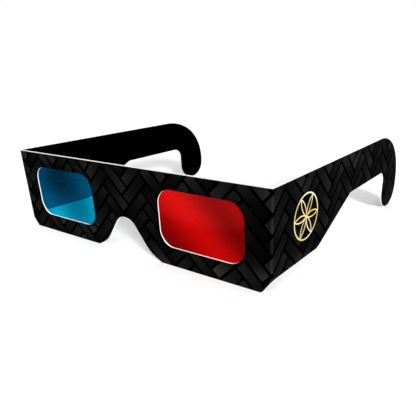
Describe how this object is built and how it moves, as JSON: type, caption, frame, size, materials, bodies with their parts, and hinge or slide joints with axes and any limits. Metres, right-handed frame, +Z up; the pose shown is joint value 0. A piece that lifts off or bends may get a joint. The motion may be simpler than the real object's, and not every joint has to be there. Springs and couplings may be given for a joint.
{
  "type": "folding card anaglyph glasses",
  "caption": "Folding card viewing glasses: a laminated front with a nose notch holds a red and a blue film, and hooked temples turn on scored folds.",
  "frame": {"origin": "on the surface that the glasses stand on, under the middle of their box", "axes": "+X to the wearer's left, -Y the way the wearer looks, +Z up"},
  "size_m": [0.1522, 0.1306, 0.0398],
  "materials": {
    "printed_card": "matt black print with a dark grey pattern, white core at the cut edges",
    "plain_card": "plain matt black, white core at the cut edges",
    "adhesive": "clear dried laminating glue",
    "red_film": "clear red film",
    "blue_film": "clear blue film",
    "gold_foil": "hot-stamped gold foil"
  },
  "bodies": {
    "front": {"front_card": "printed_card", "backing_card": "plain_card", "laminating_adhesive": "adhesive", "red_lens_film": "red_film", "blue_lens_film": "blue_film", "left_fold": "printed_card", "right_fold": "printed_card"},
    "left_temple": {"left_temple": "printed_card", "foil_emblem": "gold_foil"},
    "right_temple": {"right_temple": "printed_card"}
  },
  "joints": [
    {"name": "left_temple_fold", "type": "hinge", "parent": "front", "child": "left_temple", "pos_m": [0.06785, -0.06426, 0.0228], "axis": [0, 0, 1], "range_deg": [-86.8, 93.2]},
    {"name": "right_temple_fold", "type": "hinge", "parent": "front", "child": "right_temple", "pos_m": [-0.07467, -0.06384, 0.0228], "axis": [0, 0, -1], "range_deg": [-96.5, 83.5]}
  ]
}
